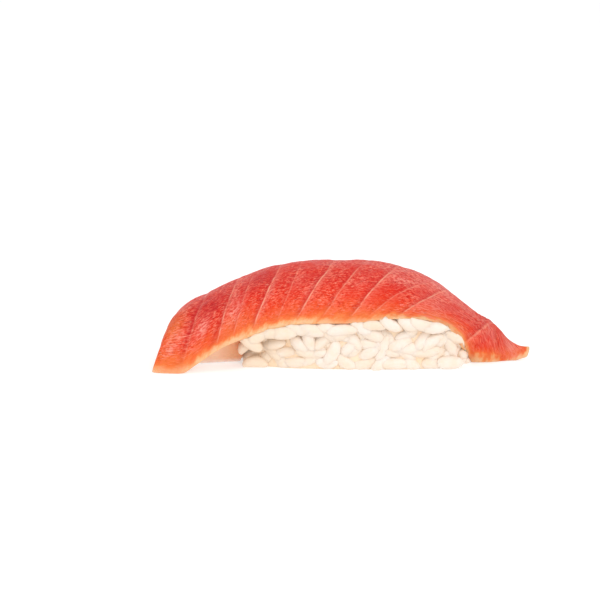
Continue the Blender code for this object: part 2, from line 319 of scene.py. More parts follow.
def top_face(along, across):
    """The ridge plus a share of the way to the nearer edge: an arch across the slice."""
    ridge = line_through(RIDGE, along)
    near_side = (across < 0)[:, None]
    edge = np.where(near_side, line_through(NEAR_EDGE, along), line_through(FAR_EDGE, along))
    turn = np.pi / 2 * (1 - np.abs(across))
    share = np.stack([
        np.abs(across) ** LEAN_POWER,
        np.cos(turn) ** ARCH_POWER,
        1 - np.sin(turn) ** ARCH_POWER,
    ], axis=1)
    return ridge + (edge - ridge) * share


def outwards(along, across):
    """Direction of the slice's thickness: it pitches with the ridge and rolls with across."""
    step = 0.01
    ridge_run = line_through(RIDGE, along + step) - line_through(RIDGE, along - step)
    flat_tail = 1 - TAIL_FLATNESS * smooth_step(along, TAIL_START, 1.0)
    flat_head = 1 - HEAD_FLATNESS * (1 - smooth_step(along, HEAD_END, HEAD_TURN))
    pitch = np.arctan2(-ridge_run[:, 2], ridge_run[:, 0]) * flat_tail
    roll = EDGE_ROLL * across * flat_tail * flat_head
    parts = [np.sin(pitch) * np.cos(roll), np.sin(roll), np.cos(pitch) * np.cos(roll)]
    return np.stack(parts, axis=1)


def rounding(across):
    """1 in the middle of the slice and 0 at its long edges."""
    return np.maximum(1 - np.abs(across) ** EDGE_POWER, 0) ** EDGE_FALL


def slice_thickness(along, across):
    """The knife's thickness, thinned to the long edges and a little at both ends."""
    body = (SLICE_THICKNESS - SLICE_EDGE) * rounding(across)
    body = body * (1 - HEAD_THINNING * (1 - smooth_step(along, 0.0, HEAD_THIN_TO)))
    body = body * (1 - TAIL_THINNING * smooth_step(along, TAIL_THIN_FROM, 1.0))
    cut = HEAD_CUT * (1 - smooth_step(along, 0.0, HEAD_CUT_TO))
    cut = cut + TAIL_CUT * smooth_step(along, TAIL_CUT_FROM, 1.0)
    return SLICE_EDGE + body + cut * (1 - rounding(across))


def sag(points, across):
    """1 past the rice's end, where the head's underside rests on the plate, 0 at the rims."""
    x, y = 2 * points[:, 0] / RICE_LENGTH, 2 * points[:, 1] / RICE_WIDTH
    outline = (np.abs(x) ** RICE_PLAN_POWER + np.abs(y) ** RICE_PLAN_POWER) ** (1 / RICE_PLAN_POWER)
    past_rice = smooth_step(outline, *SAG_OUTLINE) * smooth_step(-points[:, 0], *SAG_LEFT)
    return past_rice * smooth_step(1 - np.abs(across), 0.0, SAG_INLET)


# %% [markdown]
# ## What the eye sees on the flesh
#
# Pale sinews part the red flesh into lobes. Some are strong and some hardly show, and each
# one wanders a little from the line of the cut. They are listed one by one: where the sinew
# lies, how far it slants, how strong it looks, and the dip that it pulls into the flesh,
# gentle to its left and steep to its right. The numbers are real places on the slice, so
# the finish and the relief can share them.
#
# The relief itself is small: these dips, three sizes of unevenness, and the fold and the
# fine creases just before the tail. It could be bump in the material, but then the meshes
# alone would look like wax.

# %% Sinews and relief
# place along, slant, strength of its line, dip in mm, reach of the dip to its left, in mm
SINEW_LINES = (
    (0.051, 0.000, 0.30, 0.42, 1.6),
    (0.147, 0.005, 0.70, 0.24, 1.8),
    (0.208, 0.000, 0.40, 0.05, 0.8),
    (0.296, 0.000, 1.00, 0.32, 3.0),
    (0.376, -0.025, 0.30, 0.04, 0.8),
    (0.459, 0.008, 0.95, 0.18, 2.2),
    (0.548, 0.027, 0.50, 0.10, 1.4),
    (0.640, 0.045, 0.90, 0.18, 2.2),
    (0.722, 0.110, 0.40, 0.05, 0.8),
    (0.792, 0.060, 0.75, 0.15, 1.5),
    (0.957, 0.000, 0.60, 0.22, 1.2),
)
WIGGLE = (4.5, 0.0030, 9)  # size in mm, reach along and seed of each line's wandering
LINE_APART = 1000  # mm that tell the lines apart in that noise, so that no two wander alike
SLANT_MIDDLE = -0.5  # each line keeps its place along at this place across
SHARP_SIDE = 0.35  # the dip is this much narrower right of its sinew
RIDGE_SHARE = 0.35  # of a dip's depth that is left on the ridge
RIDGE_BAND = (0.05, 0.4)  # places across between which the rest comes in
SLICE_RUN = 92  # mm of flesh from along 0 to 1, down the ridge
SLICE_SPREAD = 22  # mm from the ridge to a long edge
FOLD = (0.962, 0.013, 0.45)  # place along, reach, height in mm
FOLD_ACROSS = (-0.6, -0.1)
CREASES = (1.25, 0.20)  # spacing and height in mm
CREASE_BEND = (2.5, 3.0, 8)  # greatest shift in radians, size in mm, seed
CREASED_FROM = (0.90, 0.94)
CREASED_TO = (0.975, 1.0)
CREASED_MIDDLE = -0.1
CREASED_BAND = (0.25, 0.8)
UNEVEN = ((6.0, 0.22, 3), (2.2, 0.10, 4), (0.9, 0.05, 5))  # size and height in mm, seed
UNEVEN_STRETCH = 1.6  # times as long along the slice as across it


def past_sinews(along, across):
    """Signed mm from every sinew, one column each: straight lines that wander a little."""
    lines = np.array(SINEW_LINES)
    size, reach, seed = WIGGLE
    over = across[:, None] + 0 * lines[:, 0]
    wander = reach * ripple(over * SLICE_SPREAD, LINE_APART * lines[:, 0] + 0 * over, size, seed)
    return (along[:, None] - lines[:, 0] - lines[:, 1] * (over - SLANT_MIDDLE) - wander) * SLICE_RUN


def to_sinew(along, across):
    """Signed mm from the nearest sinew, and that sinew's strength."""
    away = past_sinews(along, across)
    nearest = np.argmin(np.abs(away), axis=1)
    return away[np.arange(len(along)), nearest], np.array(SINEW_LINES)[nearest, 2]


def sinew_dip(along, across):
    """Depth of the flesh's dips, in mm: bell curves, wide left of each sinew, sharp right."""
    lines = np.array(SINEW_LINES)
    away = past_sinews(along, across)
    reach = lines[:, 4] * np.where(away > 0, SHARP_SIDE, 1)
    depth = np.sum(lines[:, 3] * np.exp(-((away / reach) ** 2)), axis=1)
    return depth * (RIDGE_SHARE + (1 - RIDGE_SHARE) * smooth_step(np.abs(across), *RIDGE_BAND))


def creases(along, across):
    """Height in mm of the tail's fine creases: a bent sine along the slice, faded all round."""
    x, y = along * SLICE_RUN, across * SLICE_SPREAD
    spacing, tall = CREASES
    bend, size, seed = CREASE_BEND
    wave = np.sin(x * 2 * np.pi / spacing + bend * ripple(x, y, size, seed))
    there = smooth_step(along, *CREASED_FROM) * (1 - smooth_step(along, *CREASED_TO))
    there = there * (1 - smooth_step(np.abs(across - CREASED_MIDDLE), *CREASED_BAND))
    return tall * wave * there


def relief(along, across):
    """Height in mm over the plain top: dips, three sizes of unevenness, fold and creases."""
    x, y = along * SLICE_RUN, across * SLICE_SPREAD
    height = -sinew_dip(along, across)
    for size, tall, seed in UNEVEN:
        height = height + tall * ripple(x / UNEVEN_STRETCH, y, size, seed)
    at, reach, tall = FOLD
    fold = tall * np.exp(-(((along - at) / reach) ** 2)) * smooth_step(across, *FOLD_ACROSS)
    return height * rounding(across) + fold + creases(along, across)


def slice_points(along, across, level):
    """The top with its relief, moved in by a share of the thickness, then sagged and curled."""
    out = outwards(along, across)
    lift = relief(along, across) * MM * level
    depth = slice_thickness(along, across) * (1 - level)
    points = top_face(along, across) + out * (lift - depth)[:, None]
    points[:, 2] -= (points[:, 2] - SLICE_FLOOR) * sag(points, across) * (1 - level)
    points[:, 2] += TIP_LIFT * smooth_step(along, *TIP_ALONG) * smooth_step(across, *TIP_ACROSS)
    back = smooth_step(along, *BACK_ALONG) * (1 - smooth_step(along, *BACK_END) * BACK_LOST)
    points[:, 1] += TAIL_BACK * back * (1 - smooth_step(across, *BACK_ACROSS)) * (1 - level)
    return points


# %% [markdown]
# ## One closed slab
#
# The slice needs a top, an underside and four walls, and they have to share their points,
# or light would leak at the seams. So a block is made in parameter space first: the six
# sides of a box of (`along`, `across`, `level`), each a grid, and points with the same
# three parameters are welded. The walls have no sharp arris in soft food, so they bulge
# out as half an ellipse, less so at the head and the tail, where they meet in corners.

# %% Block of parameters
ROWS_ALONG = 360
ROWS_ACROSS = 104
WALL_STEPS = 8
SIDE_BULGE = 0.34  # share of the local thickness
END_BULGE = 0.10
CORNER_LOSS = 0.7
TAIL_CORNER = 0.92
CLEAR_OF_PLATE = 0.12 * MM


def block(first, second, third):
    """Parameters and outward quads of a box's six sides, welded, from three rising lists."""
    axes = (first, second, third)
    params, quads, start = [], [], 0
    for fixed in range(3):
        u_axis, v_axis = (fixed + 1) % 3, (fixed + 2) % 3
        u, v = np.meshgrid(axes[u_axis], axes[v_axis], indexing="ij")
        index = np.arange(u.size).reshape(u.shape)
        corners = [index[:-1, :-1], index[1:, :-1], index[1:, 1:], index[:-1, 1:]]
        face = np.stack(corners, axis=-1).reshape(-1, 4)
        for end in (0, -1):
            side = np.zeros((u.size, 3))
            side[:, fixed] = axes[fixed][end]
            side[:, u_axis], side[:, v_axis] = u.ravel(), v.ravel()
            params.append(side)
            quads.append((face if end else face[:, ::-1]) + start)
            start += u.size
    welded, where = np.unique(np.concatenate(params), axis=0, return_inverse=True)
    return welded, where.ravel()[np.concatenate(quads)]


def wall_bulge(along, across, level):
    """Outward push at the four walls: half an ellipse over the wall's height."""
    step = 0.004
    round_out = np.sqrt(np.clip(1 - (2 * level - 1) ** 2, 0, 1)) * slice_thickness(along, across)
    push = np.zeros((len(along), 3))
    for wall, run, cross, share in (
        (across == -1, 0, step, SIDE_BULGE),
        (across == 1, 0, -step, SIDE_BULGE),
        (along == HEAD_END, step, 0, END_BULGE),
        (along == 1, -step, 0, END_BULGE),
    ):
        there = (along[wall], across[wall], level[wall])
        inner = (along[wall] + run, across[wall] + cross, level[wall])
        outward = slice_points(*there) - slice_points(*inner)
        outward /= np.linalg.norm(outward, axis=1)[:, None]
        push[wall] += outward * (share * round_out[wall])[:, None]
    at_tail = smooth_step(along, TAIL_CORNER, 1.0)
    at_head = 1 - smooth_step(along, HEAD_END, 0.0)
    return push * (1 - CORNER_LOSS * at_tail - CORNER_LOSS * at_head)[:, None]


levels = ((1 - np.cos(np.linspace(0, np.pi, WALL_STEPS + 1))) / 2).round(9)
slab, slab_quads = block(
    np.linspace(HEAD_END, 1, ROWS_ALONG).round(9),
    np.linspace(-1, 1, ROWS_ACROSS).round(9),
    levels,
)
along, across, level = slab.T
slab_points = slice_points(along, across, level) + wall_bulge(along, across, level)
slab_points[:, 2] = np.maximum(slab_points[:, 2], CLEAR_OF_PLATE)
tuna = mesh_object("tuna_slice_flesh", slab_points, slab_quads)

# %% [markdown]
# ## What the finish needs to know
#
# A material knows only what the mesh tells it, so every point stores what its look depends
# on. `place_mm` is where it lies on the slice, so that fibres follow the drape. `edge_mm` is
# how far it is from the thin edge, where the flesh turns orange and then peach. `sinew_mm`
# and `sinew_strength` are the way to the nearest sinew, and how well that one shows. `dark`,
# `orange` and `pale` come from short lists of soft round patches: `dark` is partly deeper red
# flesh and partly painted shade, `pale` mostly painted highlights. The last three tell the
# lower faces apart and carry painted light and shade: `inner` is the underside, lightened
# with painted light, `cut` paints light through the flesh and shade, beside the rice and at
# the tail, and `by_plate` paints the bright plate's light on it from below.
# It could be painted by hand, but numbers are easier to move.

# %% Attributes of the flesh
# Dark patches: partly deeper red flesh, partly painted shade in grooves and on the head's top.
# place along, place across, reach along, reach across, amount
DEEP_RED_AND_SHADE_PATCHES = (
    (0.045, -0.55, 0.007, 0.28, 0.90),
    (0.060, -0.25, 0.040, 0.22, 1.10),
    (0.105, -0.40, 0.030, 0.18, 0.90),
    (0.125, -0.12, 0.020, 0.20, 0.60),
    (0.131, -0.78, 0.012, 0.16, 0.60),
    (0.245, -0.20, 0.045, 0.20, 1.20),
    (0.432, -0.20, 0.018, 0.20, 0.25),
    (0.587, -0.27, 0.035, 0.10, 0.35),
    (0.772, -0.42, 0.025, 0.14, 0.25),
    (0.955, -0.45, 0.020, 0.25, 0.20),
)
ORANGE_PATCHES = (
    (-0.040, -0.45, 0.045, 0.35, 0.7),
    (0.010, -0.55, 0.020, 0.22, 0.7),
    (0.030, -0.92, 0.050, 0.10, 0.8),
    (0.170, -0.82, 0.030, 0.16, 0.5),
    (0.230, -0.80, 0.030, 0.14, 0.4),
    (0.869, -0.80, 0.060, 0.16, 0.4),
    (0.620, -0.95, 0.090, 0.06, 0.7),
)
# amount is the share by which the flesh is thinner there, so that more of it is peach
RIM_PATCHES = (
    (0.885, -1.00, 0.055, 0.35, 0.60),
    (1.000, -0.50, 0.010, 0.45, 0.62),
)
# Mostly painted highlights: moist glints and a sheen along the top; a few are paler pink flesh.
GLINT_AND_PALE_PATCHES = (
    (0.016, -0.80, 0.012, 0.06, 0.8),
    (0.025, -0.64, 0.020, 0.12, 0.5),
    (0.083, -0.63, 0.018, 0.12, 1.2),
    (0.165, -0.50, 0.012, 0.20, 0.5),
    (0.193, -0.62, 0.022, 0.18, 0.7),
    (0.307, -0.58, 0.010, 0.16, 0.7),
    (0.390, -0.40, 0.020, 0.15, 0.3),
    (0.448, -0.57, 0.020, 0.16, 0.4),
    (0.594, -0.45, 0.030, 0.16, 0.30),
    (0.695, -0.28, 0.045, 0.10, 0.8),
    (0.800, -0.12, 0.090, 0.16, 0.6),
    (0.620, -0.02, 0.200, 0.10, 0.4),
    (0.830, -0.55, 0.040, 0.20, 0.50),
    (0.960, -0.15, 0.025, 0.25, 0.60),
    (0.990, 0.55, 0.020, 0.25, 1.0),
)


def patches_at(patches):
    """Sum of soft round patches over the slice."""
    return sum(
        amount * np.exp(-(((along - at) / wide) ** 2) - ((across - over) / tall) ** 2)
        for at, over, wide, tall, amount in patches
    )


TAIL_EDGE = (4, 3.0)  # the tail's end counts as this many times as far, plus so many mm
LEVEL_SPAN = 3  # mm that place_mm runs through from the underside to the top
LINE_LEVEL = (0.5, 0.9)  # levels between which a sinew's line comes in
LINE_HEAD = (0.0, 0.05)  # places along between which it comes in
LINE_EDGE = (0.82, 0.98)  # places across between which it goes out
RIDGE_LINE = 0.4  # of its strength that is left on the ridge
RIDGE_LINE_BAND = (0.05, 0.3)
HEAD_UNDER = (0.25, 0.3)  # places along where the head's underside ends
BY_RICE = (-33 * MM, -27 * MM)  # x between which it comes near the rice
NEAR_PLATE = (0.3 * MM, 1.8 * MM)  # heights over the plate
TAIL_UNDER = (0.85, 0.95)
TAIL_WALL_LEVEL = (0.5, 1.0)
TAIL_WALL_ACROSS = (-0.95, -0.5)

away, strength = to_sinew(along, across)
side_mm = (1 - np.abs(across)) * SLICE_SPREAD
tail_mm = (1 - along) * SLICE_RUN * TAIL_EDGE[0] + TAIL_EDGE[1]
end_mm = np.minimum((along - HEAD_END) * SLICE_RUN, tail_mm)
edge_mm = np.minimum(side_mm, end_mm) * smooth_step(level, 0.0, 1.0)
edge_mm *= 1 - patches_at(RIM_PATCHES)
place_mm = np.stack([along * SLICE_RUN, across * SLICE_SPREAD, level * LEVEL_SPAN], axis=1)
fade = smooth_step(level, *LINE_LEVEL) * smooth_step(along, *LINE_HEAD)
fade = fade * (1 - smooth_step(np.abs(across), *LINE_EDGE))
fade = fade * (RIDGE_LINE + (1 - RIDGE_LINE) * smooth_step(np.abs(across), *RIDGE_LINE_BAND))
attach(tuna, "place_mm", place_mm)
attach(tuna, "edge_mm", edge_mm)
attach(tuna, "sinew_mm", away)
attach(tuna, "sinew_strength", strength * fade)
attach(tuna, "dark", patches_at(DEEP_RED_AND_SHADE_PATCHES))
attach(tuna, "orange", patches_at(ORANGE_PATCHES))
attach(tuna, "pale", patches_at(GLINT_AND_PALE_PATCHES))

# %% Attributes of the lower faces
underside = (level == 0).astype(float)
under_head = underside * (1 - smooth_step(along, *HEAD_UNDER))
by_rice = under_head * smooth_step(slab_points[:, 0], *BY_RICE)
under_tail = underside * smooth_step(along, *TAIL_UNDER)
tail_wall = (along == 1) * (1 - smooth_step(level, *TAIL_WALL_LEVEL))
tail_wall = tail_wall * (1 - smooth_step(across, *TAIL_WALL_ACROSS))
attach(tuna, "inner", underside)
attach(tuna, "cut", np.maximum(tail_wall, np.maximum(by_rice, under_tail)))
attach(tuna, "by_plate", under_head * (1 - smooth_step(slab_points[:, 2], *NEAR_PLATE)))
print("attributes:", sorted(layer.name for layer in tuna.data.attributes if "_" in layer.name))

# %% [markdown]
# ## Node helpers
#
# The two finishes are built from the same few steps: read an attribute, spread noise over
# it, remap it, mix two colours by it. Each step is a function that links its nodes and
# returns the socket to go on from, so the recipes below read like a list of ingredients.

# %% Node helpers


class Recipe:
    """A material under construction, with short calls for the nodes that it needs."""

    def __init__(self, name):
        self.material = bpy.data.materials.new(name)
        self.material.use_nodes = True
        self.tree = self.material.node_tree
        self.shader = self.tree.nodes["Principled BSDF"]

    def node(self, kind, settings=None, **inputs):
        made = self.tree.nodes.new(kind)
        for name, value in (settings or {}).items():
            setattr(made, name, value)
        for name, value in inputs.items():
            self.feed(made.inputs[int(name[1:]) if name[0] == "_" else name], value)
        return made

    def feed(self, socket, value):
        if isinstance(value, bpy.types.NodeSocket):
            self.tree.links.new(value, socket)
        else:
            socket.default_value = value

    def attribute(self, name, kind="Fac"):
        """What is stored under this name: a number, or a vector if the kind is Vector."""
        return self.node("ShaderNodeAttribute", {"attribute_name": name}).outputs[kind]

    def math(self, operation, a, b=0.0, clamp=False):
        made = self.node("ShaderNodeMath", {"operation": operation, "use_clamp": clamp}, _0=a, _1=b)
        return made.outputs[0]

    def times(self, a, b):
        return self.math("MULTIPLY", a, b)

    def remap(self, value, low, high, to_low=0.0, to_high=1.0, kind="SMOOTHSTEP"):
        made = self.node("ShaderNodeMapRange", {"interpolation_type": kind})
        self.feed(made.inputs["Value"], value)
        ends = {"From Min": low, "From Max": high, "To Min": to_low, "To Max": to_high}
        for socket, number in ends.items():
            self.feed(made.inputs[socket], number)
        return made.outputs["Result"]

    def stretched(self, vector, scale):
        return self.node("ShaderNodeMapping", {}, Vector=vector, Scale=scale).outputs["Vector"]

    def noise(self, vector, size, detail=2.0, rough=0.5):
        """Noise whose grains are about as large as size, in the vector's own unit."""
        made = self.node("ShaderNodeTexNoise", {}, Vector=vector, Scale=1 / size, Detail=detail)
        self.feed(made.inputs["Roughness"], rough)
        return made.outputs["Fac"]

    def mix(self, share, first, second, blend="MIX"):
        made = self.node("ShaderNodeMix", {"data_type": "RGBA", "blend_type": blend})
        self.feed(made.inputs[0], share)
        self.feed(made.inputs[6], first)
        self.feed(made.inputs[7], second)
        return made.outputs[2]

    def layer(self, colour, share, look, blend="MIX"):
        """The colour with a look over it: the look's own colour, and its greatest share."""
        over, most = look
        return self.mix(self.times(share, most), colour, (*over, 1), blend)

    def ramp(self, value, stops):
        """Colour by value from 0 to 1, through (position, colour) stops."""
        made = self.node("ShaderNodeValToRGB", {}, _0=value)
        points = made.color_ramp.elements
        while len(points) < len(stops):
            points.new(0.5)
        for point, (position, colour) in zip(points, stops):
            point.position = position
            point.color = (*colour, 1)
        return made.outputs["Color"]

    def bump(self, height, distance, strength=1.0, normal=None):
        made = self.node("ShaderNodeBump", {}, Height=height, Distance=distance, Strength=strength)
        if normal is not None:
            self.feed(made.inputs["Normal"], normal)
        return made.outputs["Normal"]

    def set(self, **inputs):
        """Feeds the shader's sockets, named with _ for each space."""
        for name, value in inputs.items():
            self.feed(self.shader.inputs[name.replace("_", " ")], value)


# %% [markdown]
# ## Raw tuna
#
# Raw tuna is a wet, slightly clear red. Where it is thick, light is swallowed and the flesh
# is deep red. At the thin edges light passes through, and it turns orange and then peach.
# A glass-like volume could do that, but it is slow and noisy, so the colour follows the
# distance from the edge, and subsurface scattering softens it. Fine fibres run along the
# slice: they show as pink mottling with painted glints in it, and as real glints in the
# moist coat.
#
# The finish is built as a cook would describe it, one look over another. Each look has a
# colour and a greatest share, and each range says from which value to which a pattern
# comes in, and, where two more numbers follow, what it turns into there.

# %% Patterns of the flesh
# stretch along, across and through, then size in mm, detail and roughness
PATTERNS = {
    "speckle": ((1.0, 1.8, 1.0), 0.9, 3, 0.65),
    "fibres": ((0.75, 2.8, 1.0), 1.0, 3, 0.6),
    "streaks": ((0.16, 1.5, 1.0), 1.0, 3, 0.6),
    "zones": ((1.0, 1.0, 1.0), 5.0, 2, 0.5),
    "wander": ((1.0, 1.0, 1.0), 3.0, 3, 0.6),
    "breaks": ((1.0, 0.6, 1.0), 1.1, 3, 0.5),
    "fine": ((1.0, 2.2, 1.0), 0.5, 3, 0.6),
}

flesh = Recipe("raw_tuna_flesh")
place = flesh.attribute("place_mm", "Vector")
run = flesh.node("ShaderNodeSeparateXYZ", {}, Vector=place).outputs["X"]
pattern = {
    name: flesh.noise(flesh.stretched(place, stretch), *kind)
    for name, (stretch, *kind) in PATTERNS.items()
}
print("patterns:", sorted(pattern))

# %% Thin and thick, orange and dark
FULL_DEPTH = 12.0  # mm from the edge
# share of the full depth, and the colour there
BY_DEPTH = (
    (0.00, (0.92, 0.56, 0.31)),
    (0.06, (0.91, 0.42, 0.18)),
    (0.11, (0.90, 0.25, 0.075)),
    (0.18, (0.87, 0.15, 0.036)),
    (0.30, (0.85, 0.105, 0.024)),
    (0.55, (0.81, 0.052, 0.015)),
    (0.83, (0.77, 0.030, 0.011)),
    (1.00, (0.72, 0.023, 0.012)),
)
EDGE_WANDER = (0.3, 0.7, -0.8, 0.8)
ORANGE = ((0.84, 0.17, 0.035), 1.0)
DEEP_RED_AND_SHADE = ((0.61, 0.015, 0.014), 0.8)

depth = flesh.math("ADD", flesh.attribute("edge_mm"), flesh.remap(pattern["wander"], *EDGE_WANDER))
colour = flesh.ramp(flesh.remap(depth, 0.0, FULL_DEPTH, kind="LINEAR"), BY_DEPTH)
colour = flesh.layer(colour, flesh.attribute("orange"), ORANGE)
# Painted shade and deeper red flesh, where the dark patches are.
colour = flesh.layer(colour, flesh.attribute("dark"), DEEP_RED_AND_SHADE)

# %% Flecks, dashes and streaks
BUSY_ZONES = (0.38, 0.62, 0.35, 1.0)
BUSY_DEPTH = (1.0, 4.5, 0.15, 1.0)
CALM_DARK = (0.4, 1.0, 1.0, 0.45)
GAPPED = (0.47, 0.36)
FLECKED = (0.50, 0.64)
DASHED = (0.55, 0.63)
STREAKED = (0.50, 0.62)
GLINT_SPECKLE = (0.42, 0.60, 0.2, 1.0)
TAIL_RUN = (68, 76)
TIP_RUN = (90, 82)
GAP = ((0.78, 0.34, 0.40), 0.95)
# Flecks and dashes: partly fibre texture, partly painted glints.
FLECK_AND_GLINT = ((0.93, 0.195, 0.12), 0.80)
DASH_AND_GLINT = ((0.95, 0.37, 0.25), 0.70)
GLINT_AND_PALE_PINK = ((0.94, 0.36, 0.29), 0.75)
STREAK = ((0.92, 0.24, 0.17), 0.70)

busy = flesh.times(flesh.remap(pattern["zones"], *BUSY_ZONES), flesh.remap(depth, *BUSY_DEPTH))
calm = flesh.times(busy, flesh.remap(flesh.attribute("dark"), *CALM_DARK))
gaps = flesh.times(flesh.remap(pattern["speckle"], *GAPPED), busy)
flecks_and_glints = flesh.times(flesh.remap(pattern["speckle"], *FLECKED), calm)
dashes_and_glints = flesh.times(flesh.remap(pattern["fibres"], *DASHED), calm)
# Painted highlights, speckled, where the pale patches are.
pale = flesh.times(flesh.attribute("pale"), flesh.remap(pattern["speckle"], *GLINT_SPECKLE))
tail = flesh.times(flesh.remap(run, *TAIL_RUN), flesh.remap(run, *TIP_RUN))
streaks = flesh.times(flesh.remap(pattern["streaks"], *STREAKED), tail)
colour = flesh.layer(colour, gaps, GAP, "MULTIPLY")
colour = flesh.layer(colour, flecks_and_glints, FLECK_AND_GLINT)
colour = flesh.layer(colour, dashes_and_glints, DASH_AND_GLINT)
colour = flesh.layer(colour, pale, GLINT_AND_PALE_PINK)
colour = flesh.layer(colour, streaks, STREAK)

# %% Sinews, painted shade before them and painted light after
LINE_WIDTH = (0.07, 0.38, 1, 0)
LINE_BREAKS = (0.30, 0.60, 0.20, 1.0)
BEFORE_REACH = (-2.4, -0.2)
BEFORE_END = (0.1, -0.1)
AFTER_REACH = (3.2, 0.1)
AFTER_START = (-0.2, 0.1)
AFTER_SPECKLE = (0.35, 0.6, 0.3, 1.0)
# Painted shade where the flesh dips left of a sinew, and a painted highlight right of it.
PAINTED_SHADE_BEFORE = ((0.55, 0.022, 0.022), 0.55)
PAINTED_LIGHT_AFTER = ((0.92, 0.22, 0.15), 0.60)
SINEW = ((0.94, 0.44, 0.30), 0.80)

signed = flesh.attribute("sinew_mm")
strong = flesh.attribute("sinew_strength")
before = flesh.times(flesh.remap(signed, *BEFORE_REACH), flesh.remap(signed, *BEFORE_END))
after = flesh.times(flesh.remap(signed, *AFTER_REACH), flesh.remap(signed, *AFTER_START))
after = flesh.times(after, flesh.remap(pattern["speckle"], *AFTER_SPECKLE))
line = flesh.remap(flesh.math("ABSOLUTE", signed), *LINE_WIDTH)
line = flesh.times(line, flesh.remap(pattern["breaks"], *LINE_BREAKS))
colour = flesh.layer(colour, flesh.times(before, strong), PAINTED_SHADE_BEFORE)
colour = flesh.layer(colour, flesh.times(after, strong), PAINTED_LIGHT_AFTER)
colour = flesh.layer(colour, flesh.times(line, strong), SINEW)

# %% Lower faces and the moist surface
# Painted light and shade: a lightened underside, light and shade by the rice and tail, light from the
# plate.
UNDERSIDE_PAINTED_LIGHT = ((0.96, 0.62, 0.44), 0.85)
PAINTED_GLOW_AND_SHADE = ((0.80, 0.34, 0.16), 0.80)
LIT_BY_PLATE = ((0.97, 0.82, 0.74), 0.80)
ROUGHNESS = (0.3, 0.7, 0.32, 0.50)
FIBRE_BUMP = (0.40 * MM, 0.7)
FINE_BUMP = (0.16 * MM, 0.6)

colour = flesh.layer(colour, flesh.attribute("inner"), UNDERSIDE_PAINTED_LIGHT)
colour = flesh.layer(colour, flesh.attribute("cut"), PAINTED_GLOW_AND_SHADE)
colour = flesh.layer(colour, flesh.attribute("by_plate"), LIT_BY_PLATE)
flesh.set(
    Base_Color=colour,
    Roughness=flesh.remap(pattern["wander"], *ROUGHNESS),
    IOR=1.38,
    Specular_IOR_Level=0.12,
    Subsurface_Weight=0.25,
    Subsurface_Radius=(1.0, 0.25, 0.15),
    Subsurface_Scale=0.0012,
    Coat_Weight=0.09,
    Coat_Roughness=0.12,
    Normal=flesh.bump(pattern["fine"], *FINE_BUMP, flesh.bump(pattern["fibres"], *FIBRE_BUMP)),
)
tuna.data.materials.append(flesh.material)
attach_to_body(tuna, "root")
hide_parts("tuna_slice")
print("raw tuna:", len(flesh.tree.nodes), "nodes")

# %% [markdown]
# ## Room under the slice
#
# The slice presses the rice down, so rice has to know how high it may reach. A ray could be
# cast for each point, but a height map does it for all of them at once: the underside is
# sampled densely, and every cell of a fine plan keeps the lowest height found in it.

# %% Height map
CELL = 0.3 * MM
MAP_START = np.array([-50.0, -20.0]) * MM
MAP_CELLS = (330, 130)
MAP_SAMPLES = (1000, 420, 3)  # along, across and in level
REST_GAP = 0.08 * MM

samples = [np.linspace(low, 1, count) for low, count in zip((HEAD_END, -1, 0), MAP_SAMPLES)]
dense = np.meshgrid(*samples, indexing="ij")
under = slice_points(*(values.ravel() for values in dense))
cells = np.floor((under[:, :2] - MAP_START) / CELL).astype(int)
ceiling = np.full(MAP_CELLS, np.inf)
np.minimum.at(ceiling, (cells[:, 0], cells[:, 1]), under[:, 2])


def room_at(points):
    """Height that the slice leaves free over each point of the plate."""
    spot = np.floor((points[..., :2] - MAP_START) / CELL).astype(int)
    spot = np.clip(spot, 0, np.array(MAP_CELLS) - 1)
    return ceiling[spot[..., 0], spot[..., 1]] - REST_GAP


print("height map covers", int(np.isfinite(ceiling).sum()), "cells")

# %% [markdown]
# ## The core of the rice
#
# Inside the finger the grains are pressed into one sticky mass. Only slivers of it show
# between the outer grains, in a warm cream, since the light there has passed through rice.
# More grains could fill the inside, but hundreds of them would never be seen. So the core
# is a rounded block like the solid's, just under the outer grains: a superellipse in plan,
# whose sides close in above and below the belly. It keeps clear of the slice and the plate.

# %% Core
RICE_HEIGHT = 17.4 * MM
RICE_BELLY = 4.5 * MM
RICE_TUCK = 11 * MM
RICE_SIDE_POWER = 3.2
CORE_INSET = 1.2 * MM
CORE_SIDE_INSET = 0.75 * CORE_INSET
CORE_FLOOR = 0.05 * MM


def finger(turn, height, inset):
    """Side point at this turn round Z and height, and its outward direction: a superellipse in
    plan, shrunk by another one of the height above or below the belly."""
    power = 2 / RICE_PLAN_POWER
    cosine, sine = np.cos(turn), np.sin(turn)
    reach = np.where(height > RICE_BELLY, RICE_HEIGHT - RICE_BELLY, RICE_TUCK)
    rise = np.clip(np.abs(height - RICE_BELLY) / reach, 0, 1)
    side = (1 - rise**RICE_SIDE_POWER) ** (1 / RICE_SIDE_POWER)
    length, width = RICE_LENGTH / 2 - inset, RICE_WIDTH / 2 - inset
    x = length * side * np.sign(cosine) * np.abs(cosine) ** power
    y = width * side * np.sign(sine) * np.abs(sine) ** power
    slope = 2 - power
    out = np.stack([
        np.sign(cosine) * np.abs(cosine) ** slope / length,
        np.sign(sine) * np.abs(sine) ** slope / width,
        0 * cosine,
    ], axis=-1)
    return np.stack([x, y, height], axis=-1), out / np.linalg.norm(out, axis=-1, keepdims=True)


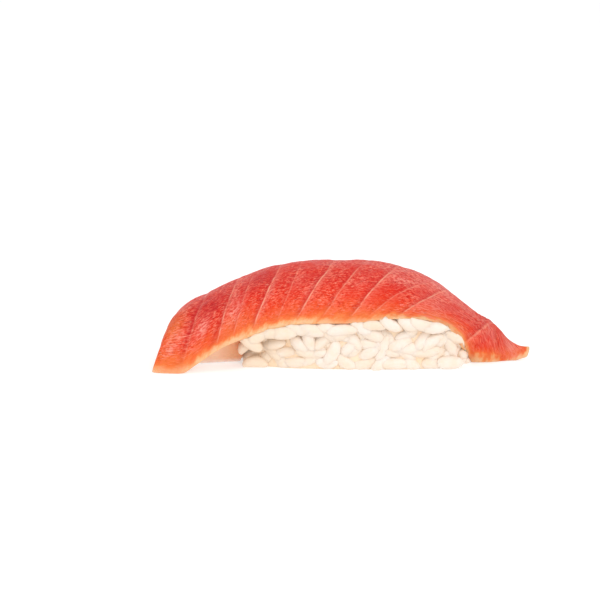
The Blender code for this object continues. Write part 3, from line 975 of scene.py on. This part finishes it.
def tube(rings, sides):
    """Quads and end triangles of a closed tube: rings of points, then a start and an end."""
    ring, side = np.meshgrid(np.arange(rings - 1), np.arange(sides), indexing="ij")
    after = (side + 1) % sides
    quads = np.stack([
        ring * sides + side,
        ring * sides + after,
        (ring + 1) * sides + after,
        (ring + 1) * sides + side,
    ], axis=-1).reshape(-1, 4)
    around = np.arange(sides)
    start, end, last = rings * sides, rings * sides + 1, (rings - 1) * sides
    low = np.stack([np.full(sides, start), (around + 1) % sides, around], axis=1)
    high = np.stack([np.full(sides, end), last + around, last + (around + 1) % sides], axis=1)
    return quads, np.concatenate([low, high])


CORE_RINGS = 40
CORE_SIDES = 150
heights = np.linspace(CORE_FLOOR, RICE_HEIGHT - 2 * CORE_INSET, CORE_RINGS)
turn, height = np.meshgrid(np.linspace(0, 2 * np.pi, CORE_SIDES, endpoint=False), heights)
core_points = finger(turn, height, CORE_SIDE_INSET)[0].reshape(-1, 3)
core_points = np.concatenate([core_points, [[0, 0, heights[0]], [0, 0, heights[-1]]]])
core_points[:, 2] = np.minimum(core_points[:, 2], room_at(core_points) - CORE_INSET)
core_points[:, 2] = np.maximum(core_points[:, 2], CORE_FLOOR)
core = mesh_object("rice_core", core_points, *tube(CORE_RINGS, CORE_SIDES))

# %% [markdown]
# ## Loose grains
#
# A cooked grain of short rice is a plump, blunt spindle, a little bent and a little flat,
# with a nick at the germ's end. Its surface is a ring of points carried along its length,
# few enough for hundreds of copies. All grains are worked out together, as one array of
# grains by points by coordinates, and they all end in one mesh.
#
# They could be dropped and settled by physics, but rows are quicker and stay where they are
# put. Staggered rows go round the finger, mostly level, as rolling the rice in the palm
# leaves them, and a second layer fills the gaps behind the first. Two more rows lie end to
# end under each rim of the slice, where the palm presses grains up, so some of them poke
# out past it. Two single grains lie on the plate, at the foot of the near corners.

# %% One grain
GRAIN_LENGTH = 6.6 * MM
GRAIN_WIDTH = 3.1 * MM
GRAIN_THICKNESS = 2.8 * MM
GRAIN_SIDES = 8
GRAIN_RINGS = 6
BLUNTNESS = 2.5  # 2 is an ellipsoid
NICK = 0.16  # how much of its width the germ's end lacks
NICK_FROM = (0.3, 0.9)  # places along the grain, from -1 to 1


def grain_surface():
    """A spindle along Z of unit size: its girth is a superellipse of the length."""
    spots = -np.cos(np.linspace(0, np.pi, GRAIN_RINGS + 2)[1:-1])
    girth = (1 - np.abs(spots) ** BLUNTNESS) ** (1 / BLUNTNESS)
    girth = girth * (1 - NICK * smooth_step(spots, *NICK_FROM))
    spin = np.linspace(0, 2 * np.pi, GRAIN_SIDES, endpoint=False)
    rings = np.stack([
        np.outer(girth, np.cos(spin)),
        np.outer(girth, np.sin(spin)),
        np.repeat(spots[:, None], GRAIN_SIDES, axis=1),
    ], axis=-1).reshape(-1, 3)
    return np.concatenate([rings, [[0, 0, -1], [0, 0, 1]]]) / 2


# %% Where the grains lie
# inset in mm, rows, grains a row, highest row in mm, seed
LAYERS = (
    (1.2, 7, 34, 14.0, 21),
    (3.0, 6, 31, 14.0, 22),
)
GRAIN_SLANT = math.radians(34)
GRAIN_LEAN = math.radians(12)
GRAIN_JITTER = 0.34
GRAIN_DEPTHS = (-0.5, 0.35)  # mm in or out of its layer
GRAIN_SIZES = 0.07  # spread, as a share
GRAIN_BENDS = 0.5  # spread in mm
FLAT_BEND = 0.7  # of a bend is left across the grain's flat side
GRAIN_SEED = 23
OUTLINE_STEPS = 1441
NEAR_REACH = (0.285, 0.925)
FAR_REACH = (0.16, 0.80)
RIM_GRAINS = 15
RIM_SLANT = 0.8  # of the slant of the other grains
RIM_SHIFTS = 0.008  # places along
RIM_OUT = (-0.3, 0.6)  # mm
RIM_UP = (-0.6, 0.5)  # mm
RIM_ROWS = ((0.7 * MM, 0.9 * MM, 31), (4.0 * MM, 1.5 * MM, 32))  # inset, drop, seed
STRAYS = ((-22.9, -10.9, -3), (21.8, -11.2, 6))  # x and y in mm, turn in degrees


def even_turns(count, share):
    """Turns round Z at these shares of the finger's outline, measured along it."""
    fine = np.linspace(0, 2 * np.pi, OUTLINE_STEPS)
    outline = finger(fine, np.full(fine.shape, RICE_BELLY), CORE_INSET)[0]
    walked = np.concatenate([[0], np.cumsum(np.linalg.norm(np.diff(outline, axis=0), axis=1))])
    return np.interp((share % 1) * walked[-1], walked, fine)


def grain_layer(inset, rows, a_row, top, seed):
    """Centres, lengthwise and outward directions of a layer: staggered rows, all jittered."""
    draw = np.random.default_rng(seed)
    row, spot = (part.ravel() for part in np.meshgrid(np.arange(rows), np.arange(a_row), indexing="ij"))
    count = len(row)
    low = GRAIN_THICKNESS / 2
    share = (spot + row % 2 / 2 + draw.uniform(-GRAIN_JITTER, GRAIN_JITTER, count)) / a_row
    step = (top * MM - low) / (rows - 1)
    height = np.maximum(low, low + step * (row + draw.uniform(-GRAIN_JITTER, GRAIN_JITTER, count)))
    centre, out = finger(even_turns(count, share), height, inset * MM)
    slant = draw.normal(0, GRAIN_SLANT, count)
    lean = draw.uniform(-GRAIN_LEAN, GRAIN_LEAN, count)
    level = np.stack([-out[:, 1], out[:, 0], 0 * slant], axis=1)
    axis = level * np.cos(slant)[:, None] + np.array([0, 0, 1]) * np.sin(slant)[:, None]
    axis = axis * np.cos(lean)[:, None] + out * np.sin(lean)[:, None]
    return centre + out * draw.uniform(*GRAIN_DEPTHS, (count, 1)) * MM, axis, out


def rim_row(rim, reach, side, inset, drop, seed):
    """Grains laid end to end along a rim's curve, moved in by the inset and down by the drop."""
    draw = np.random.default_rng(seed)
    step = 0.01
    share = np.linspace(*reach, RIM_GRAINS) + draw.uniform(-RIM_SHIFTS, RIM_SHIFTS, RIM_GRAINS)
    run = line_through(rim, share + step) - line_through(rim, share - step)
    centre = line_through(rim, share) - np.array([0, side * inset, drop])
    slant = draw.normal(0, GRAIN_SLANT * RIM_SLANT, RIM_GRAINS)
    centre[:, 1] -= side * draw.uniform(*RIM_OUT, RIM_GRAINS) * MM
    centre[:, 2] += draw.uniform(*RIM_UP, RIM_GRAINS) * MM
    axis = run / np.linalg.norm(run, axis=1, keepdims=True)
    axis = axis * np.cos(slant)[:, None] + np.array([0, 0, 1]) * np.sin(slant)[:, None]
    return centre, axis, np.array([0, side, 0]) + 0 * centre


def strays():
    """Single grains that lie on the plate, at the foot of the finger's near corners."""
    x, y, turn = np.array(STRAYS).T
    turn = np.radians(turn)
    centre = np.stack([x, y, 0 * x], axis=1) * MM + np.array([0, 0, GRAIN_THICKNESS / 2])
    axis = np.stack([np.cos(turn), np.sin(turn), 0 * x], axis=1)
    return centre, axis, np.array([0, -1, 0]) + 0 * centre


def grown_grains(centre, axis, out, seed):
    """Every grain's points: the spindle sized, bent to a parabola, turned and put in place."""
    draw = np.random.default_rng(seed)
    count = len(centre)
    shape = grain_surface()
    spread = draw.normal(1, GRAIN_SIZES, (count, 3))
    size = np.array([GRAIN_THICKNESS, GRAIN_WIDTH, GRAIN_LENGTH]) * spread
    local = shape[None] * size[:, None, :]
    bend = draw.normal(0, GRAIN_BENDS, (count, 2)) * MM
    arc = (2 * shape[None, :, 2]) ** 2
    local[..., 0] -= bend[:, :1] * arc * FLAT_BEND
    local[..., 1] -= bend[:, 1:] * arc
    axis = axis / np.linalg.norm(axis, axis=1, keepdims=True)
    side = np.cross(axis, out)
    side /= np.linalg.norm(side, axis=1, keepdims=True)
    back = np.cross(side, axis)
    turned = (
        local[..., :1] * back[:, None]
        + local[..., 1:2] * side[:, None]
        + local[..., 2:] * axis[:, None]
    )
    return centre[:, None] + turned


found = [grain_layer(*layer) for layer in LAYERS]
found += [rim_row(NEAR_EDGE, NEAR_REACH, -1, *row) for row in RIM_ROWS]
found += [rim_row(FAR_EDGE, FAR_REACH, 1, *row) for row in RIM_ROWS]
found += [strays()]
centre, axis, out = (np.concatenate(parts) for parts in zip(*found))
grains = grown_grains(centre, axis, out, GRAIN_SEED)
print("grains laid:", len(grains))

# %% [markdown]
# ## Pressed by the slice and the plate
#
# A grain that would reach into the slice sinks until it clears it, by half a millimetre at
# most. What still reaches too high or too low is pressed flat, point by point, as it is in
# the hand, and a grain that has no room left is taken away. Each grain then gets one tint
# for all its points: a random tone, and to the left, under the slice, painted shade that
# makes the grains a deeper cream.

# %% Pressed grains
MOST_SINK = 0.5 * MM
LEAST_HEIGHT = 1.2 * MM
GRAIN_FLOOR = 0.02 * MM
SHADED_LEFT = (8 * MM, 26 * MM)  # distances left of the rice's middle
SHADED_TINT = 0.85
MOST_TINT = 0.5
TINT_SEED = 24

crossing = np.max(grains[..., 2] - room_at(grains), axis=1)
grains[..., 2] -= np.clip(crossing, 0, MOST_SINK)[:, None]
grains[..., 2] = np.maximum(np.minimum(grains[..., 2], room_at(grains)), GRAIN_FLOOR)
tall = grains[..., 2].max(axis=1) - grains[..., 2].min(axis=1)
grains = grains[tall > LEAST_HEIGHT]
quads, triangles = tube(GRAIN_RINGS, GRAIN_SIDES)
count, points_each = grains.shape[:2]
offsets = np.arange(count)[:, None, None] * points_each
rice = mesh_object(
    "rice_grains",
    grains.reshape(-1, 3),
    (quads[None] + offsets).reshape(-1, 4),
    (triangles[None] + offsets).reshape(-1, 3),
)
# Painted shade: grains to the left, under the slice, get a deeper cream.
shaded = smooth_step(-grains[..., 0].mean(axis=1), *SHADED_LEFT)
tones_and_shade = np.random.default_rng(TINT_SEED).uniform(0, MOST_TINT, count) + SHADED_TINT * shaded
attach(rice, "grain_tone_and_shade", np.repeat(tones_and_shade, points_each))
print("grains kept:", count)

# %% [markdown]
# ## Cooked rice
#
# Cooked rice is creamy white. Light goes a little way into a grain and comes out warm, so
# the gaps between grains aren't grey. Subsurface scattering does that, but only a little of
# it is used: grains overlap, and deep scattering goes dark where they do. Pale, warm base
# colours do the rest. Each grain differs a little in tone, its skin is moist, and starch
# leaves faint streaks on it. The core has the same finish in a deeper, warmer tone, which
# paints the warm light seen in the gaps, since all that shows of it lies there.

# %% Cooked rice
CLOUD = (2.2 * MM, 3, 0.55)  # size, detail and roughness
STARCH = (0.7 * MM, 3, 0.6)
CLOUD_SHARE = (0.35, 0.7, 0, 0.5)
STARCH_BUMP = (0.18 * MM, 0.4)
# name, pale tone, deep tone, and whether each grain has its own tone and painted shade
GRAIN_FINISH = ("cooked_rice_grain", (0.90, 0.80, 0.72), (0.88, 0.71, 0.55), True)
# The core's deeper, warmer tones paint the warm light seen in the gaps.
CORE_FINISH = ("cooked_rice_core", (0.98, 0.78, 0.58), (0.96, 0.64, 0.38), False)


def rice_finish(name, pale, deep, tinted):
    """Creamy, softly glossy grains: noise and each grain's own tone and painted shade mix two tones."""
    made = Recipe(name)
    spot = made.node("ShaderNodeTexCoord").outputs["Object"]
    cloud = made.noise(spot, *CLOUD)
    share = made.remap(cloud, *CLOUD_SHARE)
    if tinted:
        share = made.math("ADD", share, made.attribute("grain_tone_and_shade"), clamp=True)
    made.set(
        Base_Color=made.mix(share, (*pale, 1), (*deep, 1)),
        Roughness=made.remap(cloud, *ROUGHNESS),
        Subsurface_Weight=0.15,
        Subsurface_Radius=(1.0, 0.92, 0.80),
        Subsurface_Scale=0.0006,
        IOR=1.38,
        Coat_Weight=0.05,
        Coat_Roughness=0.2,
        Normal=made.bump(made.noise(spot, *STARCH), *STARCH_BUMP),
    )
    return made.material


rice.data.materials.append(rice_finish(*GRAIN_FINISH))
core.data.materials.append(rice_finish(*CORE_FINISH))
for piece in (rice, core):
    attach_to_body(piece, "root")
    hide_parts("rice_body")
